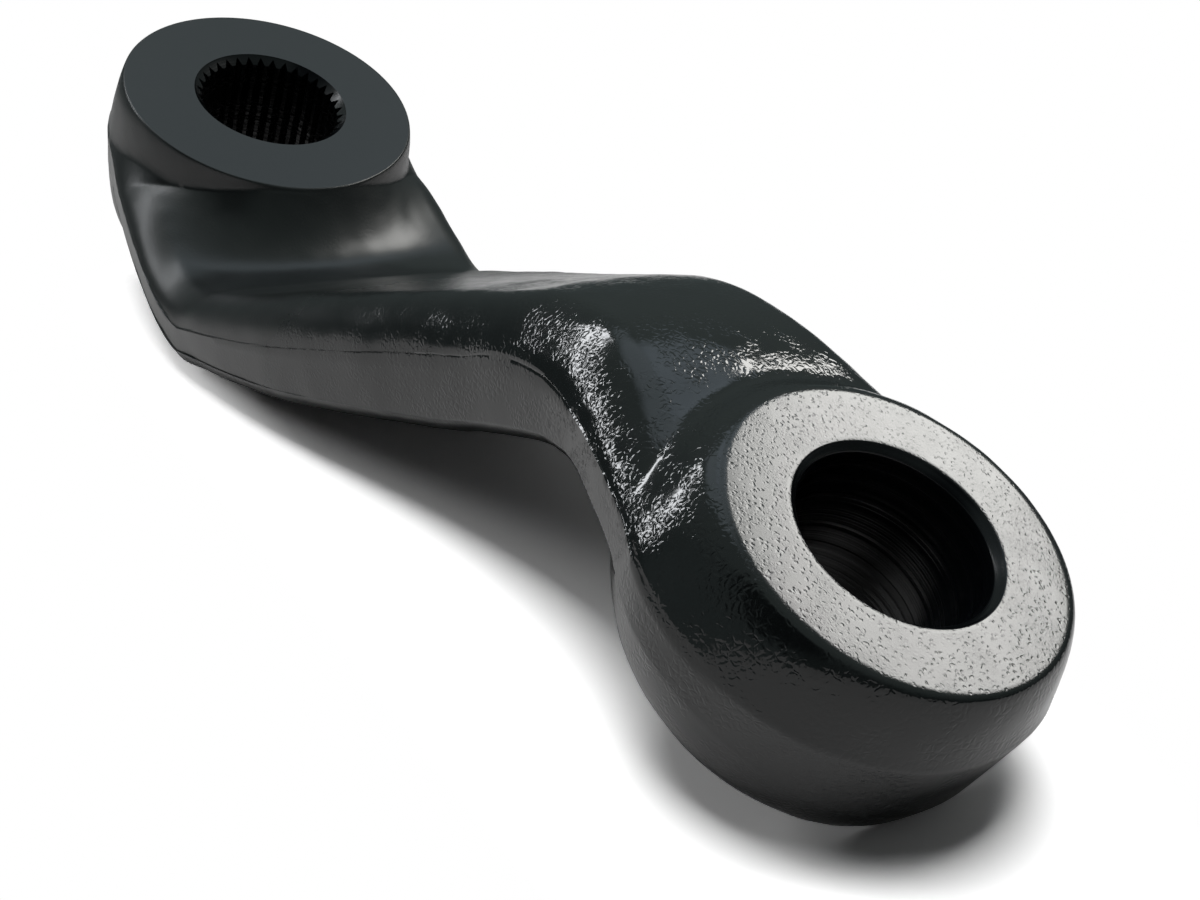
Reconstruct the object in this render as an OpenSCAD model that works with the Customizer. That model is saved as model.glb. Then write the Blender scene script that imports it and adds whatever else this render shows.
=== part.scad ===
// Drop pitman arm: one steel forging with a serrated eye for the steering box shaft at its low end,
// an S-bent arm, and a tapered eye for the linkage stud at its high end.
// The serrated eye's machined face is at z = 0 and its axis is the Z axis. The arm runs along +X.

/* [Arm] */
// Distance between the axes of the two eyes
eye_spacing = 162; // [140:1:190]
// Height of the stud eye's face over the spline eye's face
eye_rise = 66.5; // [50:0.5:75]
// Slope of the raised part of the arm, in degrees
ramp_angle = 42.5; // [38:0.5:48]
// Distance of the middle of the ramp from the spline eye's axis
ramp_middle = 82; // [78:0.5:90]
// Radius of the hollow bend at the foot of the ramp, on the upper side
foot_bend_r = 20; // [10:1:30]
// Radius of the crest bend at the head of the ramp, on the upper side
crest_bend_r = 40; // [16:1:44]

/* [Forged section] */
// Depth of the rounded upper edge at the spline end
spline_end_round = 5.2; // [4:0.2:8]
// Depth of the rounded upper edge on the ramp
ramp_round = 8.4; // [6:0.2:11]
// Depth of the rounded upper edge at the stud end
stud_end_round = 5.8; // [4:0.2:9]
// Height of the flat side under the crease at the spline end
spline_end_land = 5; // [3:0.5:7]
// Height of the flat side at its widest, high on the ramp
ramp_land = 12; // [8:0.5:14]
// Height of the flat side beside the stud eye
stud_end_land = 5; // [3:0.5:7]
// Height of the flat side at the stud eye's nose
stud_nose_land = 9.8; // [7:0.2:10.6]
// How far the flat side leans in from the crease to its lower edge
land_lean = 0.5; // [0.2:0.1:1.6]
// Depth of the rounded lower edge at the spline end
spline_end_under = 5; // [3:0.5:7]
// Depth of the rounded lower edge at the stud end
stud_end_under = 3.5; // [2.5:0.5:5]
// How far the upper edge rounding reaches in from the outline at the spline end
spline_round_w = 6; // [4:0.5:9]
// How far the upper edge rounding reaches in from the outline on the ramp and beyond
ramp_round_w = 7.5; // [6:0.5:12]
// How far the lower edge rounding reaches in from the outline
lower_round_w = 7; // [5:0.5:10]
// Radius of the fillet where the spline eye rises out of the arm
spline_fillet_r = 7; // [4:0.5:9]
// Radius of the fillet where the stud eye rises out of the arm
stud_fillet_r = 6; // [3:0.5:8]

/* [Outline] */
// Radius of the outline round the spline eye
spline_end_r = 29.5; // [28.6:0.1:33]
// Radius of the outline round the stud eye
stud_end_r = 24.9; // [23.5:0.1:27]
// How far the centre of that outline lies behind the stud's axis
stud_end_back = 2.6; // [0:0.2:3.4]
// Where the flank leaves the spline end, in degrees from the arm's direction
spline_flank_angle = 98; // [88:1:100]
// Where the flank reaches the stud end, in degrees from the arm's direction
stud_flank_angle = 71.5; // [66:0.5:84]
// Reach of the flank's straight start at the spline end
spline_flank_reach = 94; // [70:1:100]
// Reach of the flank's straight end at the stud end
stud_flank_reach = 61; // [45:1:70]

/* [Spline eye] */
// Diameter of the machined face
spline_face_d = 55; // [50:0.5:56]
// Height of the eye over the arm's upper side
spline_proud = 9; // [6:0.5:12]
// Overall height of the eye
spline_eye_h = 31; // [30:0.5:40]
// Diameter of the eye's lower face
spline_foot_d = 52; // [44:0.5:54]
// Bore across the serration crests
spline_bore_d = 26.2; // [22:0.1:30]
// Number of serrations
serrations = 36; // [24:1:40]
// Depth of a serration groove
serration_depth = 1.1; // [0.8:0.1:1.4]
// Share of the bore's circle that the crests keep
crest_share = 0.34; // [0.32:0.01:0.5]
// Reach of the mouth's chamfer past the grooves
spline_chamfer = 0.4; // [0.2:0.1:1]

/* [Stud eye] */
// Diameter of the machined face
stud_face_d = 38.6; // [36:0.2:40]
// Height of the eye over the arm's upper side
stud_proud = 3; // [2:0.2:4]
// Overall height of the eye
stud_eye_h = 24.2; // [23:0.2:34]
// Diameter of the eye's lower face
stud_foot_d = 39; // [34:0.2:41]
// Diameter of the tapered bore at the face
stud_bore_d = 22; // [18:0.1:25]
// Length over which the taper narrows by one
taper_ratio = 8; // [6:0.5:14]
// Chamfer at the mouth of the bore
stud_chamfer = 0.9; // [0.4:0.1:1.4]

/* [Mesh] */
// Facets along the flank
flank_steps = 50; // [24:1:56]
// Facets across the arm
cross_steps = 40; // [20:2:44]
// Facets round the back of each eye
end_steps = 34; // [18:1:40]

/* [Hidden] */

// Stock that the spotfacing cuts away
spotface_stock = 1.5;
// Share of an eye's side that is straight, the rest of its fall being a bulge of the given power
side_straight = 0.38;
top_bulge = 2;
foot_bulge = 3.5;
// Steepness at which the edge rounding meets the flat side, as the sine of its angle
crease_sine = 0.95;
// Overrun of a cutting tool past a face
overrun = 2;
// Stretch of the ramp, as shares of its run, over which the flat side is at its widest
widest_from = 0.85;
widest_to = 0.9;
// Share of the way from the crest to the stud end at which the ramp's rounding begins to fade
fade_from = 0.25;
// Rings of an eye's patch: the first inside the face's edge, the others at shares of the way to the outline
inner_ring = 2.4;
ring_shares = [-0.12, 0.12, 0.4, 0.7, 1];
ring_count = 1 + len(ring_shares);
// How strongly the arm's rows crowd together at the two bends and at the two ends
bend_crowding = 0.042;
end_crowding = 0.05;
// Smoothness of the exact round cuts
$fn = 96;

// Levels of the arm's upper side beside the two eyes
low_top = -spline_proud;
high_top = eye_rise - stud_proud;
ramp_run = (high_top - low_top) / tan(ramp_angle);
foot_x = ramp_middle - ramp_run / 2;
crest_x = ramp_middle + ramp_run / 2;
foot_tangent = foot_bend_r * tan(ramp_angle / 2);
crest_tangent = crest_bend_r * tan(ramp_angle / 2);

// Machined levels and radii
spline_floor = -spline_eye_h;
stud_floor = eye_rise - stud_eye_h;
spline_face_r = spline_face_d / 2;
stud_face_r = stud_face_d / 2;
stud_small_d = stud_bore_d - stud_eye_h / taper_ratio;

// Centre of the outline round the stud eye
stud_end_x = eye_spacing - stud_end_back;

// Control points of the flank, as distance along the arm and half width
flank_a = spline_end_r * [cos(spline_flank_angle), sin(spline_flank_angle)];
flank_d = [stud_end_x, 0] + stud_end_r * [-cos(stud_flank_angle), sin(stud_flank_angle)];
flank_b = flank_a + spline_flank_reach * [sin(spline_flank_angle), -cos(spline_flank_angle)];
flank_c = flank_d - stud_flank_reach * [sin(stud_flank_angle), cos(stud_flank_angle)];

function mix(a, b, t) = a + (b - a) * t;
function clamp01(t) = min(1, max(0, t));
function ease(a, b, x) = let (t = clamp01((x - a) / (b - a))) t * t * (3 - 2 * t);

// Point on the flank at t from 0 to 1, and the half width of the arm at a distance x
function flank(t) = pow(1 - t, 3) * flank_a + 3 * pow(1 - t, 2) * t * flank_b
    + 3 * (1 - t) * t * t * flank_c + pow(t, 3) * flank_d;
function flank_normal(t) = let (
        start = [cos(spline_flank_angle), sin(spline_flank_angle)],
        end = [-cos(stud_flank_angle), sin(stud_flank_angle)],
        way = mix(start, end, t)
    ) way / norm(way);
function flank_at(x, low = 0, high = 1, tries = 18) = let (t = (low + high) / 2)
    tries == 0 ? flank(t)[1]
    : flank(t)[0] < x ? flank_at(x, t, high, tries - 1) : flank_at(x, low, t, tries - 1);

// Distance of a point of the plan from the outline
function inset(x, y) = x < flank_a[0] ? spline_end_r - norm([x, y])
    : x > flank_d[0] ? stud_end_r - norm([x - stud_end_x, y])
    : flank_at(x) - abs(y);

// Middle line of the upper side: flat, hollow bend, ramp, crest bend, flat
function top_line(x) =
    x < foot_x - foot_tangent ? low_top
    : x < foot_x + foot_tangent * cos(ramp_angle)
        ? low_top + foot_bend_r - sqrt(pow(foot_bend_r, 2) - pow(x - foot_x + foot_tangent, 2))
    : x < crest_x - crest_tangent * cos(ramp_angle) ? low_top + (x - foot_x) * tan(ramp_angle)
    : x < crest_x + crest_tangent
        ? high_top - crest_bend_r + sqrt(pow(crest_bend_r, 2) - pow(x - crest_x - crest_tangent, 2))
    : high_top;

// Upright length of a depth that is measured square to the middle line
function upright(x) = 1 / cos(
    ramp_angle * clamp01((x - foot_x + foot_tangent) / (foot_tangent * (1 + cos(ramp_angle))))
        * clamp01((crest_x + crest_tangent - x) / (crest_tangent * (1 + cos(ramp_angle)))));

// Depths of the upper rounding, the flat side and the lower rounding along the arm
function up_ramp(x) = ease(foot_x - foot_tangent, ramp_middle, x);
function to_stud(x) = ease(mix(crest_x, flank_d[0], fade_from), flank_d[0], x);
function upper_depth(x) = upright(x)
    * mix(mix(spline_end_round, ramp_round, up_ramp(x)), stud_end_round, to_stud(x));
function upper_width(x) = mix(spline_round_w, ramp_round_w, up_ramp(x));
function under_depth(x) = mix(spline_end_under, stud_end_under, ease(foot_x, crest_x, x));
function on_ramp(x) = ease(foot_x - foot_tangent, mix(foot_x, crest_x, widest_from), x)
    * (1 - ease(mix(foot_x, crest_x, widest_to), crest_x + crest_tangent, x));
function to_nose(x) = pow(clamp01((x - eye_spacing) / (stud_end_x + stud_end_r - eye_spacing)), 2);
function land(x) = mix(mix(spline_end_land, stud_end_land, ease(foot_x, crest_x, x)), ramp_land, on_ramp(x))
    + (stud_nose_land - stud_end_land) * to_nose(x);
function upper_crease(x) = top_line(x) - upper_depth(x);
function lower_crease(x) = upper_crease(x) - land(x);

// Share of a rounding's depth at a distance from the outline, from 1 at the outline to 0 at its inner edge
function rounding(inset, width) = inset >= width ? 0
    : let (sine = crease_sine * (1 - max(inset, 0) / width))
    (1 - sqrt(1 - sine * sine)) / (1 - sqrt(1 - crease_sine * crease_sine));

// Height of a fillet over the surface that it leads to, at a distance outside the wall that it rises to
function fillet(gap, r) = gap >= r ? 0 : gap <= 0 ? r : r - sqrt(r * r - pow(r - gap, 2));
// How far inside an eye's edge that wall stands, so that a fillet higher than the eye still meets the edge
function wall_back(r, proud) = r - sqrt(r * r - pow(max(r - proud, 0), 2));

// Distance of the outline from the stud's axis in the direction of a point
function stud_reach(x, y) =
    let (way = [x - eye_spacing, y] / norm([x - eye_spacing, y]))
    sqrt(pow(stud_end_r, 2) - pow(stud_end_back * way[1], 2)) - stud_end_back * way[0];

// Fall of an eye's bulged side below its machined face, from the stock over the face down past the outline
function side_fall(radius, face_r, end_r, drop, bulge) =
    let (s = (radius - face_r) / (end_r - face_r))
    s < 0 ? max(-spotface_stock, drop * side_straight * s)
    : s < 1 ? drop * (side_straight * s + (1 - side_straight) * pow(s, bulge))
    : drop * (1 + (side_straight + (1 - side_straight) * bulge) * (s - 1));

// Upper and lower surfaces of the forging over the plan
function top_z(x, y) =
    let (
        from_spline = norm([x, y]),
        from_stud = norm([x - eye_spacing, y]),
        to_outline = stud_reach(x, y),
        spline_gap = from_spline - spline_face_r + wall_back(spline_fillet_r, spline_proud),
        stud_gap = from_stud - stud_face_r + wall_back(stud_fillet_r, stud_proud),
        rise = fillet(spline_gap, spline_fillet_r) + fillet(stud_gap, stud_fillet_r),
        arm = top_line(x) - upper_depth(x) * rounding(inset(x, y), upper_width(x)) + rise,
        spline_side = -side_fall(from_spline, spline_face_r, spline_end_r,
            spline_proud + spline_end_round, top_bulge),
        stud_side = eye_rise - side_fall(from_stud, stud_face_r, to_outline,
            stud_proud + stud_end_round, top_bulge)
    )
    from_spline < spline_end_r + spline_fillet_r ? min(max(arm, spline_side), spotface_stock)
    : from_stud < to_outline + stud_fillet_r ? min(max(arm, stud_side), eye_rise + spotface_stock)
    : arm;

function bottom_z(x, y) =
    let (
        from_spline = norm([x, y]),
        from_stud = norm([x - eye_spacing, y]),
        arm = lower_crease(x) - under_depth(x) * (1 - rounding(inset(x, y) - land_lean, lower_round_w)),
        spline_side = spline_floor + side_fall(from_spline, spline_foot_d / 2, spline_end_r - land_lean,
            lower_crease(0) - spline_floor, foot_bulge),
        stud_side = stud_floor + side_fall(from_stud, stud_foot_d / 2, stud_reach(x, y) - land_lean,
            lower_crease(max(x, eye_spacing)) - stud_floor, foot_bulge)
    )
    min(arm, x < ramp_middle ? spline_side : stud_side);

// Plan directions of the columns: across the arm first, then round the back of the eye
function fan(front, steps) = [
    for (j = [0:cross_steps]) mix(-front, front, j / cross_steps),
    for (j = [1:steps - 1]) mix(front, 360 - front, j / steps)
];
spline_fan = fan(spline_flank_angle, end_steps);
stud_fan = fan(stud_flank_angle, end_steps);
fan_size = cross_steps + end_steps;

// Rings of an eye's patch, from the flat middle to the outline: radius, and share of the way to the outline
function rings(face_r, end_r) = [
    [face_r - inner_ring, 0],
    for (t = ring_shares) [mix(face_r, end_r, t), t]
];
function spline_ring(ring) = [for (a = spline_fan) ring[0] * [cos(a), sin(a)]];
function stud_ring(ring) = [for (a = stud_fan)
    [eye_spacing - stud_end_back * ring[1], 0] + ring[0] * [-cos(a), sin(a)]];

// Rows of the arm between the two outlines, closer at both ends and at the bends, at a lean inside the flank
function row_at(i) =
    let (t = i / flank_steps)
    t - bend_crowding * sin(720 * t) - end_crowding * sin(360 * t);
function arm_row(u, lean) =
    let (
        edge = flank(u) - lean * flank_normal(u),
        start = flank_a - lean * flank_normal(0),
        end = flank_d - lean * flank_normal(1)
    )
    [for (j = [0:cross_steps])
        let (
            a = (spline_end_r - lean) * [cos(spline_fan[j]), sin(spline_fan[j])],
            b = [stud_end_x, 0] + (stud_end_r - lean) * [-cos(stud_fan[j]), sin(stud_fan[j])]
        )
        [
            edge[0] + (1 - u) * (a[0] - start[0]) + u * (b[0] - end[0]),
            edge[1] * mix(a[1] / start[1], b[1] / end[1], u)
        ]];

// One skin of the forging is the spline eye's rings, then the arm's rows, then the stud eye's rings
function plan_of(spline_face, stud_face, lean) = [
    for (ring = rings(spline_face, spline_end_r - lean)) each spline_ring(ring),
    for (i = [1:flank_steps - 1]) each arm_row(row_at(i), lean),
    for (ring = rings(stud_face, stud_end_r - lean)) each stud_ring(ring)
];

// Indices of the skin's points
arm_start = ring_count * fan_size;
stud_start = arm_start + (flank_steps - 1) * (cross_steps + 1);
skin_size = stud_start + ring_count * fan_size;
function spline_index(ring, k) = ring * fan_size + k % fan_size;
function stud_index(ring, k) = stud_start + ring * fan_size + k % fan_size;
function arm_index(i, j) =
    i == 0 ? spline_index(ring_count - 1, j)
    : i == flank_steps ? stud_index(ring_count - 1, j)
    : arm_start + (i - 1) * (cross_steps + 1) + j;

function quad(a, b, c, d) = [[a, b, c], [a, c, d]];

// Faces of the upper skin: the eyes' flat middles, their rings, and the arm between them
skin_faces = [
    [for (k = [fan_size - 1:-1:0]) spline_index(0, k)],
    for (r = [0:ring_count - 2], k = [0:fan_size - 1])
        each quad(
            spline_index(r, k), spline_index(r, k + 1),
            spline_index(r + 1, k + 1), spline_index(r + 1, k)),
    for (i = [0:flank_steps - 1], j = [0:cross_steps - 1])
        each j < cross_steps / 2
            ? quad(arm_index(i, j + 1), arm_index(i + 1, j + 1), arm_index(i + 1, j), arm_index(i, j))
            : quad(arm_index(i, j), arm_index(i, j + 1), arm_index(i + 1, j + 1), arm_index(i + 1, j)),
    [for (k = [0:fan_size - 1]) stud_index(0, k)],
    for (r = [0:ring_count - 2], k = [0:fan_size - 1])
        each quad(stud_index(r, k + 1), stud_index(r, k), stud_index(r + 1, k), stud_index(r + 1, k + 1))
];

// The outline, once round: back of the spline eye, one flank, back of the stud eye, the other flank
outline = [
    for (k = [cross_steps:fan_size - 1]) spline_index(ring_count - 1, k),
    for (i = [0:flank_steps - 1]) arm_index(i, 0),
    for (k = [fan_size:-1:cross_steps + 1]) stud_index(ring_count - 1, k),
    for (i = [flank_steps:-1:1]) arm_index(i, cross_steps)
];

// The forging: an upper and a lower skin over the plan, joined by the flat side
module forging() {
    top_plan = plan_of(spline_face_r, stud_face_r, 0);
    low_plan = plan_of(spline_foot_d / 2, stud_foot_d / 2, land_lean);
    edge_count = len(outline);
    polyhedron(
        points = [
            for (p = top_plan) [p[0], p[1], top_z(p[0], p[1])],
            for (p = low_plan) [p[0], p[1], bottom_z(p[0], p[1])]
        ],
        faces = [
            each skin_faces,
            for (face = skin_faces) [for (k = [len(face) - 1:-1:0]) face[k] + skin_size],
            for (k = [0:edge_count - 1])
                let (next = (k + 1) % edge_count)
                each quad(outline[k], outline[next], outline[next] + skin_size, outline[k] + skin_size)
        ]
    );
}

// Flat machined faces of both eyes
module spotfaces() {
    cutter_h = spotface_stock + overrun;
    cylinder(h = cutter_h, r = spline_end_r + overrun);
    translate([0, 0, spline_floor - cutter_h]) cylinder(h = cutter_h, r = spline_end_r + overrun);
    translate([eye_spacing, 0, eye_rise]) cylinder(h = cutter_h, r = stud_end_r + overrun);
    translate([eye_spacing, 0, stud_floor - cutter_h]) cylinder(h = cutter_h, r = stud_end_r + overrun);
}

// Serrated bore: the crests are the bore, and V grooves are cut outwards from it
module serrated_bore() {
    bore_r = spline_bore_d / 2;
    groove_half = 180 / serrations * (1 - crest_share);
    pitch = 360 / serrations;
    translate([0, 0, spline_floor - overrun]) {
        cylinder(h = spline_eye_h + 2 * overrun, r = bore_r);
        linear_extrude(height = spline_eye_h + 2 * overrun)
            polygon([for (k = [0:serrations - 1]) each [
                bore_r * [cos(k * pitch - groove_half), sin(k * pitch - groove_half)],
                (bore_r + serration_depth) * [cos(k * pitch), sin(k * pitch)],
                bore_r * [cos(k * pitch + groove_half), sin(k * pitch + groove_half)]
            ]]);
    }
    mouth_r = bore_r + serration_depth + spline_chamfer;
    translate([0, 0, -mouth_r + bore_r]) cylinder(h = mouth_r - bore_r, r1 = bore_r, r2 = mouth_r);
    translate([0, 0, spline_floor]) cylinder(h = mouth_r - bore_r, r1 = mouth_r, r2 = bore_r);
}

// Tapered bore, wide at the face, with a chamfered mouth
module tapered_bore() {
    bore_r = stud_bore_d / 2;
    small_r = stud_small_d / 2;
    lean = overrun / taper_ratio / 2;
    throat_r = bore_r - stud_chamfer / taper_ratio / 2;
    mouth_r = bore_r + stud_chamfer;
    flare = overrun * (mouth_r - throat_r) / stud_chamfer;
    translate([eye_spacing, 0, stud_floor - overrun])
        cylinder(h = stud_eye_h + 2 * overrun, r1 = small_r - lean, r2 = bore_r + lean);
    translate([eye_spacing, 0, eye_rise - stud_chamfer])
        cylinder(h = stud_chamfer + overrun, r1 = throat_r, r2 = mouth_r + flare);
}

module pitman_arm() {
    color([0.05, 0.05, 0.055])
        difference() {
            forging();
            spotfaces();
            serrated_bore();
            tapered_bore();
        }
}

pitman_arm();
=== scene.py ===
"""Looks of a drop pitman arm: one forging under gloss black paint, lying on a white table."""

import math

import bmesh
import bpy
import numpy as np
from mathutils import Euler, Matrix, Vector, noise


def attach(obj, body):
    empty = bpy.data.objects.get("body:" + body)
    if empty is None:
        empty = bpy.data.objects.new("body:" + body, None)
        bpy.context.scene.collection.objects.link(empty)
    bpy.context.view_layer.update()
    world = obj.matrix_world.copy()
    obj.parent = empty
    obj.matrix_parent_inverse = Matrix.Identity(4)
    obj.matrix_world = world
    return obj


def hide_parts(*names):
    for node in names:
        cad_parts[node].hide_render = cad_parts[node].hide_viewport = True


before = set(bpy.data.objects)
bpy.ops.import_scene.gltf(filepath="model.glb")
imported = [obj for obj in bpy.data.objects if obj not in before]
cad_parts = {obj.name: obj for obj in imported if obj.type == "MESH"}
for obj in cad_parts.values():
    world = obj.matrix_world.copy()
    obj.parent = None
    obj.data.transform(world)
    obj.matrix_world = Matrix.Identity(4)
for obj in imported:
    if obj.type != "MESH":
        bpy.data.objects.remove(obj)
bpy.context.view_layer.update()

MM = 0.001

# Sizes of the forging in millimetres, the same as in the part's source, with radii for its diameters
EYE_SPACING = 162.0
EYE_RISE = 66.5
RAMP_ANGLE = math.radians(42.5)
RAMP_MIDDLE = 82.0
FOOT_BEND_R = 20.0
CREST_BEND_R = 40.0
SPLINE_END_ROUND = 5.2
RAMP_ROUND = 8.4
STUD_END_ROUND = 5.8
SPLINE_END_LAND = 5.0
RAMP_LAND = 12.0
STUD_END_LAND = 5.0
STUD_NOSE_LAND = 9.8
LAND_LEAN = 0.5
SPLINE_END_UNDER = 5.0
STUD_END_UNDER = 3.5
SPLINE_ROUND_W = 6.0
RAMP_ROUND_W = 7.5
LOWER_ROUND_W = 7.0
SPLINE_FILLET_R = 7.0
STUD_FILLET_R = 6.0
SPLINE_END_R = 29.5
STUD_END_R = 24.9
STUD_END_BACK = 2.6
SPLINE_FLANK_ANGLE = 98.0
STUD_FLANK_ANGLE = 71.5
SPLINE_FLANK_REACH = 94.0
STUD_FLANK_REACH = 61.0
SPLINE_FACE_R = 27.5
SPLINE_PROUD = 9.0
SPLINE_EYE_H = 31.0
SPLINE_FOOT_R = 26.0
SPLINE_BORE_R = 13.1
SERRATIONS = 36
SERRATION_DEPTH = 1.1
CREST_SHARE = 0.34
SPLINE_CHAMFER = 0.4
STUD_FACE_R = 19.3
STUD_PROUD = 3.0
STUD_EYE_H = 24.2
STUD_FOOT_R = 19.5
STUD_BORE_R = 11.0
TAPER_RATIO = 8.0
STUD_CHAMFER = 0.9
SIDE_STRAIGHT = 0.38
TOP_BULGE = 2.0
FOOT_BULGE = 3.5
CREASE_SINE = 0.95
FADE_FROM = 0.25
WIDEST_FROM = 0.85
WIDEST_TO = 0.9
BEND_CROWDING = 0.042
END_CROWDING = 0.05

# Softness of the paint over the machined edges and in the valleys round the eyes
FACE_EDGE_SOFT = 0.55
VALLEY_SOFT = 1.2

# Dome of the web between the eyes: its height, the multiple of the flat half width at which it stops falling,
# and the least flat half width
WEB_CROWN = 0.7
CROWN_RUN_ON = 1.6
NARROWEST_FLAT = 1.0

# Slope from the web to the front of the spline eye's face: its length, and the angles off the arm's
# direction at which it is whole and gone
SADDLE_REACH = 16.0
SADDLE_WHOLE = 12.0
SADDLE_GONE = 84.0

# Fineness of the skin: divisions across the arm, round the back of an eye and along the arm, and points
# of the flank's line
CROSS_STEPS = 112
END_STEPS = 104
FAN = CROSS_STEPS + END_STEPS
ARM_ROWS = 170
FLANK_POINTS = 4001

# Unevenness of the hammered skin: height and spacing of its broad and fine waves
BROAD_WAVE = 0.16
BROAD_SPACING = 11.0
FINE_WAVE = 0.05
FINE_SPACING = 3.2

LOW_TOP = -SPLINE_PROUD
HIGH_TOP = EYE_RISE - STUD_PROUD
RAMP_RUN = (HIGH_TOP - LOW_TOP) / math.tan(RAMP_ANGLE)
FOOT_X = RAMP_MIDDLE - RAMP_RUN / 2
CREST_X = RAMP_MIDDLE + RAMP_RUN / 2
FOOT_TANGENT = FOOT_BEND_R * math.tan(RAMP_ANGLE / 2)
CREST_TANGENT = CREST_BEND_R * math.tan(RAMP_ANGLE / 2)
SPLINE_FLOOR = -SPLINE_EYE_H
STUD_FLOOR = EYE_RISE - STUD_EYE_H
STUD_END_X = EYE_SPACING - STUD_END_BACK
SPLINE_MOUTH_R = SPLINE_BORE_R + SERRATION_DEPTH + SPLINE_CHAMFER
STUD_MOUTH_R = STUD_BORE_R + STUD_CHAMFER
STUD_SMALL_R = STUD_BORE_R - STUD_EYE_H / TAPER_RATIO / 2


def mix(a, b, t):
    return a + (b - a) * t


def ease(low, high, x):
    t = np.clip((x - low) / (high - low), 0, 1)
    return t * t * (3 - 2 * t)


def soft_max(a, b, soft):
    blend = np.maximum(soft - np.abs(a - b), 0) / soft
    return np.maximum(a, b) + blend * blend * soft / 4


def soft_min(a, b, soft):
    return -soft_max(-a, -b, soft)


def spline_normal():
    """Direction square to the outline where it leaves the spline eye."""
    angle = math.radians(SPLINE_FLANK_ANGLE)
    return np.array([math.cos(angle), math.sin(angle)])


def stud_normal():
    """Direction square to the outline where it reaches the stud eye."""
    angle = math.radians(STUD_FLANK_ANGLE)
    return np.array([-math.cos(angle), math.sin(angle)])


FLANK_A = SPLINE_END_R * spline_normal()
FLANK_D = np.array([STUD_END_X, 0]) + STUD_END_R * stud_normal()
FLANK_B = FLANK_A + SPLINE_FLANK_REACH * np.array([spline_normal()[1], -spline_normal()[0]])
FLANK_C = FLANK_D - STUD_FLANK_REACH * np.array([stud_normal()[1], -stud_normal()[0]])


def flank(t):
    """Points of the arm's outline between the eyes, for shares t of the way."""
    t = np.asarray(t, float)[..., None]
    near = (1 - t) ** 3 * FLANK_A + 3 * (1 - t) ** 2 * t * FLANK_B
    return near + 3 * (1 - t) * t * t * FLANK_C + t ** 3 * FLANK_D


def flank_normal(t):
    """Directions out of the arm's outline between the eyes, for shares t of the way."""
    way = mix(spline_normal(), stud_normal(), np.asarray(t, float)[..., None])
    return way / np.linalg.norm(way, axis=-1, keepdims=True)


FLANK_LINE = flank(np.linspace(0, 1, FLANK_POINTS))


def inset(x, y):
    """Distance of points of the plan from the outline."""
    beside = np.interp(x, FLANK_LINE[:, 0], FLANK_LINE[:, 1]) - np.abs(y)
    at_spline = SPLINE_END_R - np.hypot(x, y)
    at_stud = STUD_END_R - np.hypot(x - STUD_END_X, y)
    return np.where(x < FLANK_A[0], at_spline, np.where(x > FLANK_D[0], at_stud, beside))


def top_line(x):
    """Middle line of the upper side: flat, hollow bend, ramp, crest bend, flat."""
    hollow = np.clip(x - FOOT_X + FOOT_TANGENT, 0, FOOT_BEND_R)
    over = np.clip(x - CREST_X - CREST_TANGENT, -CREST_BEND_R, 0)
    return np.select(
        [
            x < FOOT_X - FOOT_TANGENT,
            x < FOOT_X + FOOT_TANGENT * math.cos(RAMP_ANGLE),
            x < CREST_X - CREST_TANGENT * math.cos(RAMP_ANGLE),
            x < CREST_X + CREST_TANGENT,
        ],
        [
            LOW_TOP + 0 * x,
            LOW_TOP + FOOT_BEND_R - np.sqrt(FOOT_BEND_R ** 2 - hollow ** 2),
            LOW_TOP + (x - FOOT_X) * math.tan(RAMP_ANGLE),
            HIGH_TOP - CREST_BEND_R + np.sqrt(CREST_BEND_R ** 2 - over ** 2),
        ],
        HIGH_TOP,
    )


def upright(x):
    """Upright length of a depth that is measured square to the middle line."""
    reach = 1 + math.cos(RAMP_ANGLE)
    up = np.clip((x - FOOT_X + FOOT_TANGENT) / (FOOT_TANGENT * reach), 0, 1)
    down = np.clip((CREST_X + CREST_TANGENT - x) / (CREST_TANGENT * reach), 0, 1)
    return 1 / np.cos(RAMP_ANGLE * up * down)


def up_ramp(x):
    """Share of the way from the foot bend to the middle of the ramp."""
    return ease(FOOT_X - FOOT_TANGENT, RAMP_MIDDLE, x)


def upper_depth(x):
    """Depth of the upper edge's rounding along the arm."""
    to_stud = ease(mix(CREST_X, FLANK_D[0], FADE_FROM), FLANK_D[0], x)
    return mix(mix(SPLINE_END_ROUND, RAMP_ROUND, up_ramp(x)), STUD_END_ROUND, to_stud) * upright(x)


def upper_width(x):
    """Width of the upper edge's rounding along the arm."""
    return mix(SPLINE_ROUND_W, RAMP_ROUND_W, up_ramp(x))


def under_depth(x):
    """Depth of the lower edge's rounding along the arm."""
    return mix(SPLINE_END_UNDER, STUD_END_UNDER, ease(FOOT_X, CREST_X, x))


def land(x):
    """Height of the flat side along the arm."""
    rising = ease(FOOT_X - FOOT_TANGENT, mix(FOOT_X, CREST_X, WIDEST_FROM), x)
    falling = 1 - ease(mix(FOOT_X, CREST_X, WIDEST_TO), CREST_X + CREST_TANGENT, x)
    ends = mix(SPLINE_END_LAND, STUD_END_LAND, ease(FOOT_X, CREST_X, x))
    to_nose = np.clip((x - EYE_SPACING) / (STUD_END_X + STUD_END_R - EYE_SPACING), 0, 1) ** 2
    return mix(ends, RAMP_LAND, rising * falling) + (STUD_NOSE_LAND - STUD_END_LAND) * to_nose


def lower_crease(x):
    """Height of the flat side's lower edge along the arm."""
    return top_line(x) - upper_depth(x) - land(x)


def rounding(depth_in, width):
    """Share of an edge rounding's depth, from 1 at the outline to 0 at its inner edge."""
    sine = CREASE_SINE * np.clip(1 - depth_in / width, 0, 1)
    return (1 - np.sqrt(1 - sine * sine)) / (1 - math.sqrt(1 - CREASE_SINE ** 2))


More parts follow.
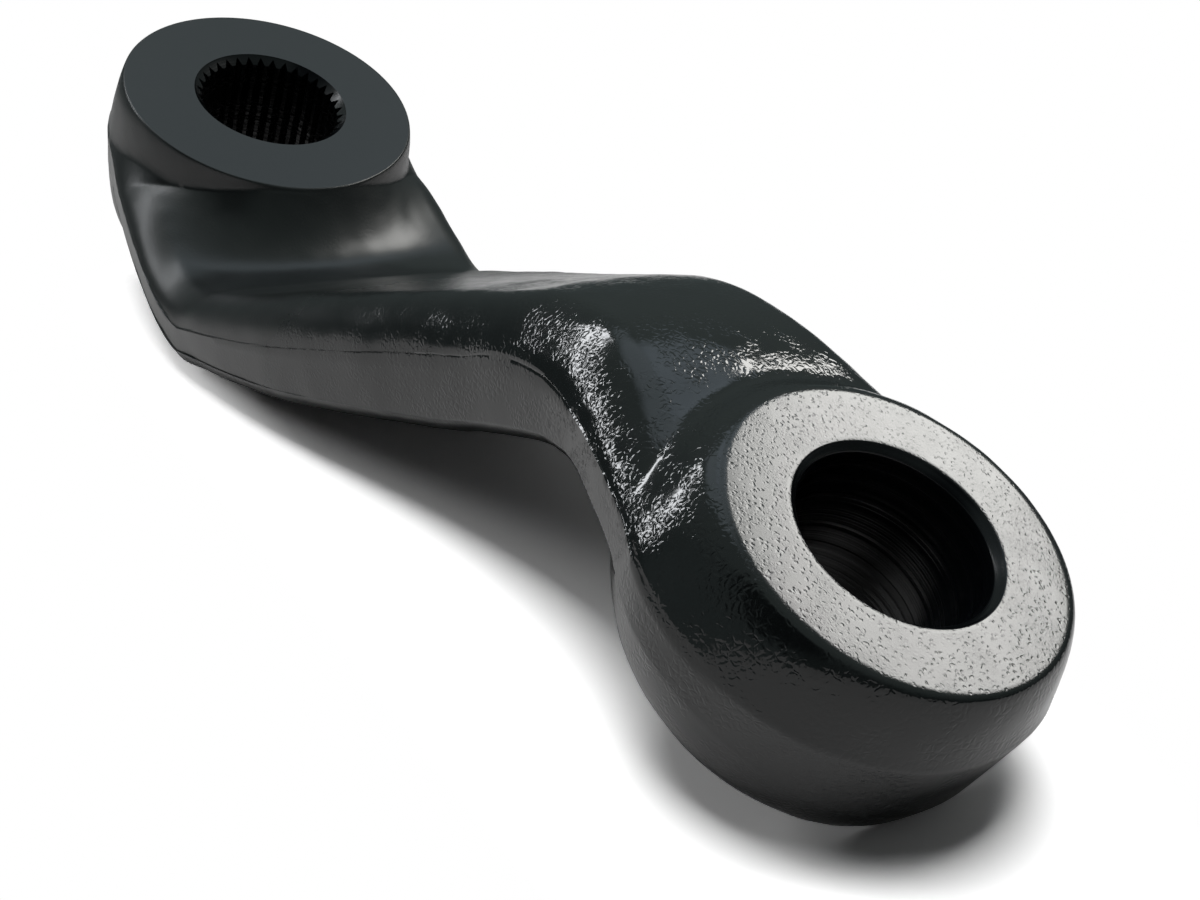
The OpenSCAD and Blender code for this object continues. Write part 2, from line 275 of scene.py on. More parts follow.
def fillet(gap, radius):
    """Height of a fillet at a distance outside the wall that it rises to."""
    way = np.clip(radius - gap, 0, radius)
    return radius - np.sqrt(radius * radius - way * way)


def wall_back(radius, proud):
    """How far inside an eye's edge its fillet's wall stands: a fillet larger than the step meets the edge."""
    return radius - math.sqrt(radius ** 2 - max(radius - proud, 0) ** 2)


def stud_reach(x, y):
    """Distance of the outline from the stud's axis in the direction of points."""
    run = x - EYE_SPACING
    far = np.hypot(run, y)
    return np.sqrt(STUD_END_R ** 2 - (STUD_END_BACK * y / far) ** 2) - STUD_END_BACK * run / far


def side_fall(radius, face_r, end_r, drop, bulge):
    """Fall of an eye's bulged side below its machined face."""
    s = (radius - face_r) / (end_r - face_r)
    body = np.clip(s, 0, 1)
    fall = drop * (SIDE_STRAIGHT * body + (1 - SIDE_STRAIGHT) * body ** bulge)
    steep = SIDE_STRAIGHT + (1 - SIDE_STRAIGHT) * bulge
    return fall + drop * np.where(s > 1, steep * (s - 1), SIDE_STRAIGHT * np.minimum(s, 0))


def saddle(x, y):
    """Height of the web's slope up to the front of the spline eye's face."""
    gap = np.hypot(x, y) - SPLINE_FACE_R
    off_front = np.degrees(np.abs(np.arctan2(y, x)))
    share = 1 - ease(SADDLE_WHOLE, SADDLE_GONE, off_front)
    return SPLINE_PROUD * share * np.clip(1 - gap / SADDLE_REACH, 0, 1) ** 2


def crown(x, y):
    """Fall of the faintly domed web from its middle line."""
    side = np.abs(y)
    flat = np.maximum(side + inset(x, y) - upper_width(x), NARROWEST_FLAT)
    return WEB_CROWN * np.minimum(side / flat, CROWN_RUN_ON) ** 2


def upper_skin(x, y):
    """Height of the forging's upper skin before its eyes are faced."""
    from_spline = np.hypot(x, y)
    from_stud = np.hypot(x - EYE_SPACING, y)
    to_outline = stud_reach(x, y)
    spline_gap = from_spline - SPLINE_FACE_R + wall_back(SPLINE_FILLET_R, SPLINE_PROUD)
    stud_gap = from_stud - STUD_FACE_R + wall_back(STUD_FILLET_R, STUD_PROUD)
    spline_rise = np.maximum(fillet(spline_gap, SPLINE_FILLET_R), saddle(x, y))
    rise = spline_rise + fillet(stud_gap, STUD_FILLET_R)
    edge = rounding(inset(x, y), upper_width(x))
    arm = top_line(x) - mix(crown(x, y), upper_depth(x), edge) + rise
    spline_side = -side_fall(
        from_spline, SPLINE_FACE_R, SPLINE_END_R, SPLINE_PROUD + SPLINE_END_ROUND, TOP_BULGE)
    stud_side = EYE_RISE - side_fall(
        from_stud, STUD_FACE_R, to_outline, STUD_PROUD + STUD_END_ROUND, TOP_BULGE)
    by_spline = from_spline < SPLINE_END_R + SPLINE_FILLET_R
    by_stud = from_stud < to_outline + STUD_FILLET_R
    side = np.where(by_spline, spline_side, stud_side)
    return np.where(by_spline | by_stud, soft_max(arm, side, VALLEY_SOFT), arm)


def lower_skin(x, y):
    """Height of the forging's lower skin before its eyes are faced."""
    from_spline = np.hypot(x, y)
    from_stud = np.hypot(x - EYE_SPACING, y)
    arm = lower_crease(x) - under_depth(x) * (1 - rounding(inset(x, y) - LAND_LEAN, LOWER_ROUND_W))
    spline_drop = lower_crease(np.float64(0)) - SPLINE_FLOOR
    stud_drop = lower_crease(np.maximum(x, EYE_SPACING)) - STUD_FLOOR
    spline_side = SPLINE_FLOOR + side_fall(
        from_spline, SPLINE_FOOT_R, SPLINE_END_R - LAND_LEAN, spline_drop, FOOT_BULGE)
    stud_side = STUD_FLOOR + side_fall(
        from_stud, STUD_FOOT_R, stud_reach(x, y) - LAND_LEAN, stud_drop, FOOT_BULGE)
    return soft_min(arm, np.where(x < RAMP_MIDDLE, spline_side, stud_side), VALLEY_SOFT)


def fan(front):
    """Plan directions in degrees: across the arm first, then round the back of the eye."""
    across = np.linspace(-front, front, CROSS_STEPS + 1)
    behind = np.linspace(front, 360 - front, END_STEPS + 1)[1:-1]
    return np.concatenate([across, behind])


def tooth_angles():
    """Directions in degrees, over one serration, of a crest's end, the groove's flanks and its root."""
    half_pitch = 180 / SERRATIONS
    half_groove = half_pitch * (1 - CREST_SHARE)
    half_flank = half_groove / 2
    return np.array([-half_pitch, -half_groove, -half_flank, 0, half_flank, half_groove, half_pitch])


def tooth_radii():
    """Radii of the points that tooth_angles gives."""
    root = SPLINE_BORE_R + SERRATION_DEPTH
    middle = (SPLINE_BORE_R + root) / 2
    crest = SPLINE_BORE_R
    return np.array([crest, crest, middle, root, middle, crest, crest])


class Eye:
    """Plan of one eye: its place, its size and the directions of the skin's columns round it."""

    def __init__(self, centre_x, facing, front, end_x, end_r, mouth_angles):
        self.centre_x = centre_x
        self.facing = facing
        self.directions = fan(front)
        self.end_x = end_x
        self.end_r = end_r
        self.mouth_angles = mouth_angles

    def plan(self, radius, degrees):
        """Points of the plan at a radius from the eye's axis, in directions."""
        angle = np.radians(degrees)
        return self.centre_x + self.facing * radius * np.cos(angle), radius * np.sin(angle)

    def outline(self, lean):
        """Points of the outline round the eye, at a lean inside it."""
        angle = np.radians(self.directions)
        radius = self.end_r - lean
        return self.end_x + self.facing * radius * np.cos(angle), radius * np.sin(angle)


# The spline bore's mouth starts with the serration that begins nearest to the skin's first column
PITCH = 360 / SERRATIONS
FIRST_TOOTH = -9
SPLINE_MOUTH_ANGLES = np.concatenate(
    [(FIRST_TOOTH + k) * PITCH + tooth_angles()[:-1] for k in range(SERRATIONS)])
STUD_MOUTH_ANGLES = np.arange(FAN) * 360 / FAN - STUD_FLANK_ANGLE
SPLINE_EYE = Eye(0.0, 1, SPLINE_FLANK_ANGLE, 0.0, SPLINE_END_R, SPLINE_MOUTH_ANGLES)
STUD_EYE = Eye(EYE_SPACING, -1, STUD_FLANK_ANGLE, STUD_END_X, STUD_END_R, STUD_MOUTH_ANGLES)

# Rings of an eye's skin: flat ones inside the face, as shares of the way to the edge; a close set over the
# edge, in millimetres; and ones down the side, as shares of the way to the outline. The flat ones end at a
# reach inside the edge.
FLAT_SHARES = np.array([0.0, 0.08, 0.3, 0.55, 0.8, 1.0])
EDGE_STEPS = np.array([-0.45, -0.28, -0.15, -0.05, 0.05, 0.15, 0.28, 0.45])
SIDE_SHARES = np.array([0.12, 0.26, 0.4, 0.55, 0.7, 0.82, 0.9, 0.955, 1.0])
RINGS = len(FLAT_SHARES) + len(EDGE_STEPS) + len(SIDE_SHARES)
EDGE_REACH = 0.8


# Millimetres inside and outside a face's radius between which its true edge is searched for, by halving
FACE_SEARCH = (-3.0, 2.8)
HALVINGS = 40


def face_edge(eye, skin, level, above, low, high):
    """Radius, in each direction, at which the skin crosses the machined face's level."""
    low = np.full(FAN, low)
    high = np.full(FAN, high)
    for _ in range(HALVINGS):
        middle = (low + high) / 2
        x, y = eye.plan(middle, eye.directions)
        outside = above * (skin(x, y) - level) < 0
        high = np.where(outside, middle, high)
        low = np.where(outside, low, middle)
    return low


def eye_rings(eye, skin, level, above, face_r, lean, mouth_r):
    """Points of an eye's skin, ring by ring from the bore's mouth outwards, and their forged shares."""
    edge = face_edge(eye, skin, level, above, face_r + FACE_SEARCH[0], face_r + FACE_SEARCH[1])
    points = []
    forged = []

    def faced(x, y):
        raw = above * (skin(x, y) - level)
        z = level + above * soft_min(raw, 0 * raw, FACE_EDGE_SOFT)
        return np.stack([x, y, z], axis=1)

    for share in FLAT_SHARES:
        degrees = mix(eye.mouth_angles, eye.directions, ease(0, 1, share))
        x, y = eye.plan(mix(mouth_r, edge - EDGE_REACH, share), degrees)
        points.append(np.stack([x, y, np.full(FAN, level)], axis=1))
        forged.append(np.zeros(FAN))
    for step in EDGE_STEPS:
        points.append(faced(*eye.plan(edge + step, eye.directions)))
        forged.append(np.full(FAN, max(step, 0.0) / EDGE_REACH))
    start_x, start_y = eye.plan(edge + EDGE_STEPS[-1], eye.directions)
    end_x, end_y = eye.outline(lean)
    for share in SIDE_SHARES:
        points.append(faced(mix(start_x, end_x, share), mix(start_y, end_y, share)))
        forged.append(np.ones(FAN))
    return np.concatenate(points), np.concatenate(forged)


def arm_rows(skin, lean):
    """Points of the arm's skin between the two eyes' rings, row by row, at a lean inside the outline."""
    t = np.arange(1, ARM_ROWS) / ARM_ROWS
    u = t - BEND_CROWDING * np.sin(4 * np.pi * t) - END_CROWDING * np.sin(2 * np.pi * t)
    edge = flank(u) - lean * flank_normal(u)
    start = FLANK_A - lean * spline_normal()
    end = FLANK_D - lean * stud_normal()
    across = slice(0, CROSS_STEPS + 1)
    ax, ay = [side[across] for side in SPLINE_EYE.outline(lean)]
    bx, by = [side[across] for side in STUD_EYE.outline(lean)]
    u = u[:, None]
    x = edge[:, :1] + (1 - u) * (ax - start[0]) + u * (bx - end[0])
    y = edge[:, 1:] * mix(ay / start[1], by / end[1], u)
    return np.stack([x.ravel(), y.ravel(), skin(x.ravel(), y.ravel())], axis=1)


def whole_skin(skin, above, lean, spline_level, stud_level, spline_face_r, stud_face_r, stud_mouth_r):
    """Points of the upper or lower skin, with both eyes, and their forged shares."""
    spline_points, spline_forged = eye_rings(
        SPLINE_EYE, skin, spline_level, above, spline_face_r, lean, SPLINE_MOUTH_R)
    stud_points, stud_forged = eye_rings(
        STUD_EYE, skin, stud_level, above, stud_face_r, lean, stud_mouth_r)
    rows = arm_rows(skin, lean)
    points = np.concatenate([spline_points, rows, stud_points])
    forged = np.concatenate([spline_forged, np.ones(len(rows)), stud_forged])
    return points, forged


# Where the arm's and the stud eye's points start in a skin, and how many points a skin has
ARM_START = RINGS * FAN
STUD_START = ARM_START + (ARM_ROWS - 1) * (CROSS_STEPS + 1)
SKIN_SIZE = STUD_START + RINGS * FAN


def spline_index(ring, k):
    return ring * FAN + k % FAN


def stud_index(ring, k):
    return STUD_START + ring * FAN + k % FAN


def arm_index(row, column):
    if row == 0:
        return spline_index(RINGS - 1, column)
    if row == ARM_ROWS:
        return stud_index(RINGS - 1, column)
    return ARM_START + (row - 1) * (CROSS_STEPS + 1) + column


# Numbers of the finishes, and the rings of an eye that have the face's
PAINTED_SKIN = 0
PAINTED_FACE = 1
PAINTED_BORE = 2
FACE_RINGS = len(FLAT_SHARES) + len(EDGE_STEPS) // 2


def skin_quads():
    """Quads of one skin with the finish of each: the eyes' rings and the arm between them."""
    quads = []
    finishes = []
    for ring in range(RINGS - 1):
        finish = PAINTED_FACE if ring < FACE_RINGS else PAINTED_SKIN
        for k in range(FAN):
            quads.append((spline_index(ring, k), spline_index(ring, k + 1),
                          spline_index(ring + 1, k + 1), spline_index(ring + 1, k)))
            quads.append((stud_index(ring, k + 1), stud_index(ring, k),
                          stud_index(ring + 1, k), stud_index(ring + 1, k + 1)))
            finishes += [finish, finish]
    for row in range(ARM_ROWS):
        for column in range(CROSS_STEPS):
            quads.append((arm_index(row, column), arm_index(row, column + 1),
                          arm_index(row + 1, column + 1), arm_index(row + 1, column)))
            finishes.append(PAINTED_SKIN)
    return quads, finishes


def outline_loop():
    """Indices of the outline, once round."""
    loop = [spline_index(RINGS - 1, k) for k in range(CROSS_STEPS, FAN)]
    loop += [arm_index(row, 0) for row in range(ARM_ROWS)]
    loop += [stud_index(RINGS - 1, k) for k in range(FAN, CROSS_STEPS, -1)]
    loop += [arm_index(row, CROSS_STEPS) for row in range(ARM_ROWS, 0, -1)]
    return loop


# Shares of the flat side's height at which it has a row of points, close to both creases
LAND_SHARES = (0.05, 0.25, 0.5, 0.75, 0.97)

# Rings down the tapered bore: radius in from the mouth and depth under the face, over the chamfer
STUD_MOUTH_RINGS = ((0.0, 0.0), (0.07, 0.03), (0.14, 0.1), (0.8, 0.76), (0.88, 0.86), (0.95, 1.05))
STUD_BORE_STEPS = 26


def stud_bore_rings():
    """Points of the tapered bore's wall, from the upper mouth to the lower face."""
    rings = [(STUD_MOUTH_R - inward, EYE_RISE - depth) for inward, depth in STUD_MOUTH_RINGS]
    first_r, first_z = rings[-1]
    for step in range(1, STUD_BORE_STEPS + 1):
        share = step / STUD_BORE_STEPS
        rings.append((mix(first_r, STUD_SMALL_R, share), mix(first_z, STUD_FLOOR, share)))
    points = []
    for radius, z in rings:
        x, y = STUD_EYE.plan(radius, STUD_EYE.mouth_angles)
        points.append(np.stack([x, y, np.full(FAN, z)], axis=1))
    return np.concatenate(points), len(rings)


# Ragged groove along the upper crease, where the flash was trimmed: depth, unevenness and its spacing,
# and the places along the arm between which it fades out towards the nose
TRIM_DEPTH = 0.22
TRIM_UNEVEN = 0.09
TRIM_SPACING = 1.3
TRIM_FADE = (EYE_SPACING - 2.0, EYE_SPACING + 11.0)


def trimmed(crease):
    """Moves the points of the upper crease, a loop, into the groove that the trimming left."""
    ahead = np.roll(crease, -1, axis=0) - np.roll(crease, 1, axis=0)
    turned = np.sum(crease[:, 0] * ahead[:, 1] - crease[:, 1] * ahead[:, 0])
    outward = np.stack([ahead[:, 1], -ahead[:, 0]], axis=1) * np.sign(turned)
    outward /= np.linalg.norm(outward, axis=1, keepdims=True)
    kept = 1 - ease(TRIM_FADE[0], TRIM_FADE[1], crease[:, 0])
    moved = crease.copy()
    for i, place in enumerate(crease):
        depth = TRIM_DEPTH + TRIM_UNEVEN * noise.noise(Vector(place) / TRIM_SPACING)
        rise = TRIM_UNEVEN * noise.noise(Vector(place + EYE_SPACING) / TRIM_SPACING)
        moved[i, :2] -= outward[i] * depth * kept[i]
        moved[i, 2] += rise * kept[i]
    return moved


def hammered(points, normals, forged):
    """Moves the forged points along their normals by the waves that the dies leave."""
    moved = points.copy()
    for i in np.flatnonzero(forged > 0):
        place = Vector(points[i])
        broad = noise.noise(place / BROAD_SPACING)
        fine = noise.noise(place / FINE_SPACING)
        moved[i] += normals[i] * forged[i] * (BROAD_WAVE * broad + FINE_WAVE * fine)
    return moved


# Attribute with each point's share of the waves: 1 where forged, 0 where machined
FORGED_SHARE = "forged_share"


def forging_mesh():
    """The forging with both skins, the flat side and the tapered bore; the serrated bore is left open."""
    upper, upper_forged = whole_skin(
        upper_skin, 1, 0.0, 0.0, EYE_RISE, SPLINE_FACE_R, STUD_FACE_R, STUD_MOUTH_R)
    lower, lower_forged = whole_skin(
        lower_skin, -1, LAND_LEAN, SPLINE_FLOOR, STUD_FLOOR, SPLINE_FOOT_R, STUD_FOOT_R, STUD_SMALL_R)
    quads, finishes = skin_quads()
    quads = quads + [tuple(i + SKIN_SIZE for i in quad) for quad in quads]
    finishes = finishes + finishes
    points = [upper, lower]
    forged = [upper_forged, lower_forged]
    loop = np.array(outline_loop())
    crease = upper[loop]
    upper[loop] = trimmed(crease)
    count = 2 * SKIN_SIZE
    above = loop
    for share in LAND_SHARES:
        points.append(mix(crease, lower[loop], share))
        forged.append(np.ones(len(loop)))
        below = count + np.arange(len(loop))
        quads += side_quads(above, below)
        above = below
        count += len(loop)
    quads += side_quads(above, loop + SKIN_SIZE)
    finishes += [PAINTED_SKIN] * (len(loop) * (len(LAND_SHARES) + 1))
    bore, ring_count = stud_bore_rings()
    points.append(bore)
    forged.append(np.zeros(len(bore)))
    for ring in range(ring_count - 1):
        start = count + ring * FAN + np.arange(FAN)
        quads += side_quads(start, start + FAN)
        finishes += [PAINTED_BORE] * FAN
    points = np.concatenate(points)
    mesh = bpy.data.meshes.new("forging")
    mesh.from_pydata((points * MM).tolist(), [], [tuple(int(i) for i in quad) for quad in quads])
    mesh.polygons.foreach_set("material_index", finishes)
    shares = mesh.attributes.new(FORGED_SHARE, "FLOAT", "POINT")
    shares.data.foreach_set("value", np.concatenate(forged))
    weld(mesh, [])
    return mesh


def side_quads(above, below):
    """Quads of a closed band between two loops of indices."""
    return list(zip(above, np.roll(above, -1), np.roll(below, -1), below))


# Distance in metres within which points are merged
WELD = 2e-6


def weld(mesh, others):
    """Joins other meshes into this one, merges the seams and turns the faces outwards."""
    shape = bmesh.new()
    shape.from_mesh(mesh)
    for other in others:
        shape.from_mesh(other)
    bmesh.ops.remove_doubles(shape, verts=shape.verts, dist=WELD)
    bmesh.ops.recalc_face_normals(shape, faces=shape.faces)
    shape.to_mesh(mesh)
    shape.free()


# Shares of a serration's straight length at which it has a row of points
TOOTH_ROWS = (0.25, 0.5, 0.75)


def tooth_mesh():
    """One serration's strip of the bore: upper chamfer, straight wall and lower chamfer."""
    angles = np.radians(tooth_angles())
    radii = tooth_radii()
    fall = SPLINE_MOUTH_R - radii
    mouth = np.full(len(angles), SPLINE_MOUTH_R)
    levels = [(mouth, 0 * fall), (radii, -fall)]
    for share in TOOTH_ROWS:
        levels.append((radii, mix(-fall, SPLINE_FLOOR + fall, share)))
    levels += [(radii, SPLINE_FLOOR + fall), (mouth, SPLINE_FLOOR + 0 * fall)]
    points = []
    for radius, z in levels:
        points += np.stack([radius * np.cos(angles), radius * np.sin(angles), z], axis=1).tolist()
    width = len(angles)
    quads = []
    for level in range(len(levels) - 1):
        for k in range(width - 1):
            corner = level * width + k
            quads.append((corner, corner + width, corner + width + 1, corner + 1))
    mesh = bpy.data.meshes.new("serration")
    mesh.from_pydata((np.array(points) * MM).tolist(), [], quads)
    return mesh


def serration_tree():
    """Geometry nodes that turn one serration's strip into the whole serrated bore."""
    tree = bpy.data.node_groups.new("serrated_bore", "GeometryNodeTree")
    face = tree.interface
    face.new_socket("Serration", in_out="INPUT", socket_type="NodeSocketGeometry")
    count = face.new_socket("Serrations round the bore", in_out="INPUT", socket_type="NodeSocketInt")
    seam = face.new_socket("Seam merge distance", in_out="INPUT", socket_type="NodeSocketFloat")
    finish = face.new_socket("Finish", in_out="INPUT", socket_type="NodeSocketMaterial")
    face.new_socket("Bore", in_out="OUTPUT", socket_type="NodeSocketGeometry")
    nodes = tree.nodes
    link = tree.links.new
    given = nodes.new("NodeGroupInput")
    result = nodes.new("NodeGroupOutput")
    points = nodes.new("GeometryNodePoints")
    number = nodes.new("GeometryNodeInputIndex")
    pitch = nodes.new("ShaderNodeMath")
    pitch.operation = "DIVIDE"
    pitch.inputs[0].default_value = 2 * math.pi
    turn = nodes.new("ShaderNodeMath")
    turn.operation = "MULTIPLY"
    around = nodes.new("ShaderNodeCombineXYZ")
    place = nodes.new("GeometryNodeInstanceOnPoints")
    solid = nodes.new("GeometryNodeRealizeInstances")
    merge = nodes.new("GeometryNodeMergeByDistance")
    paint = nodes.new("GeometryNodeSetMaterial")
    link(given.outputs["Serrations round the bore"], points.inputs["Count"])
    link(given.outputs["Serrations round the bore"], pitch.inputs[1])
    link(number.outputs["Index"], turn.inputs[0])
    link(pitch.outputs[0], turn.inputs[1])
    link(turn.outputs[0], around.inputs["Z"])
    link(points.outputs[0], place.inputs["Points"])
    link(given.outputs["Serration"], place.inputs["Instance"])
    link(around.outputs[0], place.inputs["Rotation"])
    link(place.outputs["Instances"], solid.inputs["Geometry"])
    link(solid.outputs["Geometry"], merge.inputs["Geometry"])
    link(given.outputs["Seam merge distance"], merge.inputs["Distance"])
    link(merge.outputs["Geometry"], paint.inputs["Geometry"])
    link(given.outputs["Finish"], paint.inputs["Material"])
    link(paint.outputs["Geometry"], result.inputs["Bore"])
    return tree, count.identifier, seam.identifier, finish.identifier


def serrated_bore_mesh(material):
    """The serrated bore as a plain mesh."""
    strip = bpy.data.objects.new("serrated_bore", tooth_mesh())
    bpy.context.scene.collection.objects.link(strip)
    tree, count, seam, finish = serration_tree()
    repeat = strip.modifiers.new("serrations", "NODES")
    repeat.node_group = tree
    repeat[count] = SERRATIONS
    repeat[seam] = WELD
    repeat[finish] = material
    evaluated = strip.evaluated_get(bpy.context.evaluated_depsgraph_get())
    mesh = bpy.data.meshes.new_from_object(evaluated)
    strip.modifiers.remove(repeat)
    bpy.data.objects.remove(strip)
    return mesh


# Paint of the forged skin and of the machined faces: size of its ripples and pillows and depth of its relief
# in metres, share of dents, and limits of its roughness and of its colour
RIPPLE_SIZE = 0.004
SKIN_PILLOW = 0.0009
SKIN_RELIEF = 0.000038
SKIN_DENTS = 0.0
SKIN_ROUGHNESS = (0.05, 0.14)
SKIN_COLOURS = ((0.0014, 0.0022, 0.0023), (0.004, 0.0048, 0.0048))
FACE_PILLOW = 0.0006
FACE_RELIEF = 0.000028
FACE_DENTS = 0.7
FACE_ROUGHNESS = (0.14, 0.26)
FACE_COLOURS = ((0.002, 0.003, 0.003), (0.005, 0.006, 0.006))

# Paint of the bores, with the spacing and depth in metres of the boring tool's rings
BORE_COLOUR = (0.0015, 0.002, 0.0025)
BORE_ROUGHNESS = (0.16, 0.36)
BORE_SPECULAR = 0.3
RING_SPACING = 0.0012
RING_DEPTH = 0.00012
RING_DETAIL = 2.0

# Rough paint: the pillows' share of the relief, the widths of wrinkles and dents against a pillow's size,
# and the height of the ripples, of 1, between which the wrinkles begin and are whole
PILLOW_SHARE = 0.6
WRINKLE_WIDTH = 0.3
DENT_WIDTH = 0.5
WRINKLES_FROM = 0.36
WRINKLES_TO = 0.56
RIPPLE_DETAIL = 3.0
CROOKED_DETAIL = 1.0
NOISE_ROUGHNESS = 0.6


def rough_paint_group():
    """Node group: the height of paint that lies in pillows, wrinkles and dents, and a mask of its ripples."""
    group = bpy.data.node_groups.new("rough_paint", "ShaderNodeTree")
    face = group.interface
    face.new_socket("Place", in_out="INPUT", socket_type="NodeSocketVector")
    inputs = (
        ("Pillow size", SKIN_PILLOW),
        ("Ripple size", RIPPLE_SIZE),
        ("Pillow share", PILLOW_SHARE),
        ("Wrinkle width", WRINKLE_WIDTH),
        ("Dent share", SKIN_DENTS),
        ("Dent width", DENT_WIDTH),
    )
    for name, value in inputs:
        socket = face.new_socket(name, in_out="INPUT", socket_type="NodeSocketFloat")
        socket.default_value = value
    face.new_socket("Height", in_out="OUTPUT", socket_type="NodeSocketFloat")
    face.new_socket("Patch", in_out="OUTPUT", socket_type="NodeSocketFloat")
    nodes = group.nodes
    link = group.links.new
    given = nodes.new("NodeGroupInput")
    result = nodes.new("NodeGroupOutput")

    def per_length(size_name):
        scale = nodes.new("ShaderNodeMath")
        scale.operation = "DIVIDE"
        scale.inputs[0].default_value = 1.0
        link(given.outputs[size_name], scale.inputs[1])
        return scale.outputs[0]

    def noise_texture(size_name, detail):
        texture = nodes.new("ShaderNodeTexNoise")
        texture.inputs["Detail"].default_value = detail
        texture.inputs["Roughness"].default_value = NOISE_ROUGHNESS
        link(given.outputs["Place"], texture.inputs["Vector"])
        link(per_length(size_name), texture.inputs["Scale"])
        return texture

    ripples = noise_texture("Ripple size", RIPPLE_DETAIL).outputs["Fac"]
    crooked = nodes.new("ShaderNodeVectorMath")
    crooked.operation = "SCALE"
    link(noise_texture("Pillow size", CROOKED_DETAIL).outputs["Color"], crooked.inputs[0])
    link(given.outputs["Pillow size"], crooked.inputs["Scale"])
    moved = nodes.new("ShaderNodeVectorMath")
    moved.operation = "ADD"
    link(given.outputs["Place"], moved.inputs[0])
    link(crooked.outputs["Vector"], moved.inputs[1])
    cells = nodes.new("ShaderNodeTexVoronoi")
    cells.feature = "DISTANCE_TO_EDGE"
    link(moved.outputs["Vector"], cells.inputs["Vector"])
    link(per_length("Pillow size"), cells.inputs["Scale"])
    pillows = nodes.new("ShaderNodeMapRange")
    pillows.interpolation_type = "SMOOTHSTEP"
    link(given.outputs["Wrinkle width"], pillows.inputs["From Max"])
    link(cells.outputs["Distance"], pillows.inputs["Value"])
    gathered = nodes.new("ShaderNodeMapRange")
    gathered.interpolation_type = "SMOOTHSTEP"
    gathered.inputs["From Min"].default_value = WRINKLES_FROM
    gathered.inputs["From Max"].default_value = WRINKLES_TO
    link(ripples, gathered.inputs["Value"])
    link(given.outputs["Pillow share"], gathered.inputs["To Max"])
    both = nodes.new("ShaderNodeMix")
    link(gathered.outputs["Result"], both.inputs["Factor"])
    link(ripples, both.inputs["A"])
    link(pillows.outputs["Result"], both.inputs["B"])
    spots = nodes.new("ShaderNodeTexVoronoi")
    link(moved.outputs["Vector"], spots.inputs["Vector"])
    link(per_length("Pillow size"), spots.inputs["Scale"])
    dents = nodes.new("ShaderNodeMapRange")
    dents.interpolation_type = "SMOOTHSTEP"
    link(given.outputs["Dent width"], dents.inputs["From Max"])
    link(spots.outputs["Distance"], dents.inputs["Value"])
    dented = nodes.new("ShaderNodeMix")
    link(given.outputs["Dent share"], dented.inputs["Factor"])
    link(both.outputs["Result"], dented.inputs["A"])
    link(dents.outputs["Result"], dented.inputs["B"])
    link(dented.outputs["Result"], result.inputs["Height"])
    link(ripples, result.inputs["Patch"])
    return group


def place_node(nodes):
    """Place on the piece, in its own coordinates."""
    return nodes.new("ShaderNodeTexCoord").outputs["Object"]


# Places along the arm, in metres, between which the paint's relief grows from a share of it to all of it, and
# its roughness changes from a dull one towards its own
SMOOTH_TO = 0.05
COARSE_FROM = 0.125
SMOOTH_RELIEF = 0.2
DULL = 0.4


def black_paint(name, group, pillow_size, relief_depth, dent_share, roughness, colours):
    """Gloss black paint, whose roughness and colour each vary between two limits."""
    smooth, worn = roughness
    deep, dusty = colours
    material = bpy.data.materials.new(name)
    material.use_nodes = True
    nodes = material.node_tree.nodes
    link = material.node_tree.links.new
    shader = nodes["Principled BSDF"]
    skin = nodes.new("ShaderNodeGroup")
    skin.node_tree = group
    skin.inputs["Pillow size"].default_value = pillow_size
    skin.inputs["Ripple size"].default_value = RIPPLE_SIZE
    skin.inputs["Dent share"].default_value = dent_share
    link(place_node(nodes), skin.inputs["Place"])
    tint = nodes.new("ShaderNodeMix")
    tint.data_type = "RGBA"
    tint.inputs["A"].default_value = (*deep, 1)
    tint.inputs["B"].default_value = (*dusty, 1)
    link(skin.outputs["Patch"], tint.inputs["Factor"])
    link(tint.outputs["Result"], shader.inputs["Base Color"])
    sheen = nodes.new("ShaderNodeMapRange")
    sheen.inputs["To Min"].default_value = smooth
    sheen.inputs["To Max"].default_value = worn
    link(skin.outputs["Patch"], sheen.inputs["Value"])
    bump = nodes.new("ShaderNodeBump")
    bump.inputs["Distance"].default_value = relief_depth
    along = nodes.new("ShaderNodeSeparateXYZ")
    link(place_node(nodes), along.inputs["Vector"])
    coarse = nodes.new("ShaderNodeMapRange")
    coarse.interpolation_type = "SMOOTHSTEP"
    coarse.inputs["From Min"].default_value = SMOOTH_TO
    coarse.inputs["From Max"].default_value = COARSE_FROM
    coarse.inputs["To Min"].default_value = SMOOTH_RELIEF
    link(along.outputs["X"], coarse.inputs["Value"])
    dull = nodes.new("ShaderNodeMix")
    dull.inputs["A"].default_value = DULL
    link(coarse.outputs["Result"], dull.inputs["Factor"])
    link(sheen.outputs["Result"], dull.inputs["B"])
    link(dull.outputs["Result"], shader.inputs["Roughness"])
    relief = nodes.new("ShaderNodeMath")
    relief.operation = "MULTIPLY"
    link(skin.outputs["Height"], relief.inputs[0])
    link(coarse.outputs["Result"], relief.inputs[1])
    link(relief.outputs[0], bump.inputs["Height"])
    link(bump.outputs["Normal"], shader.inputs["Normal"])
    return material


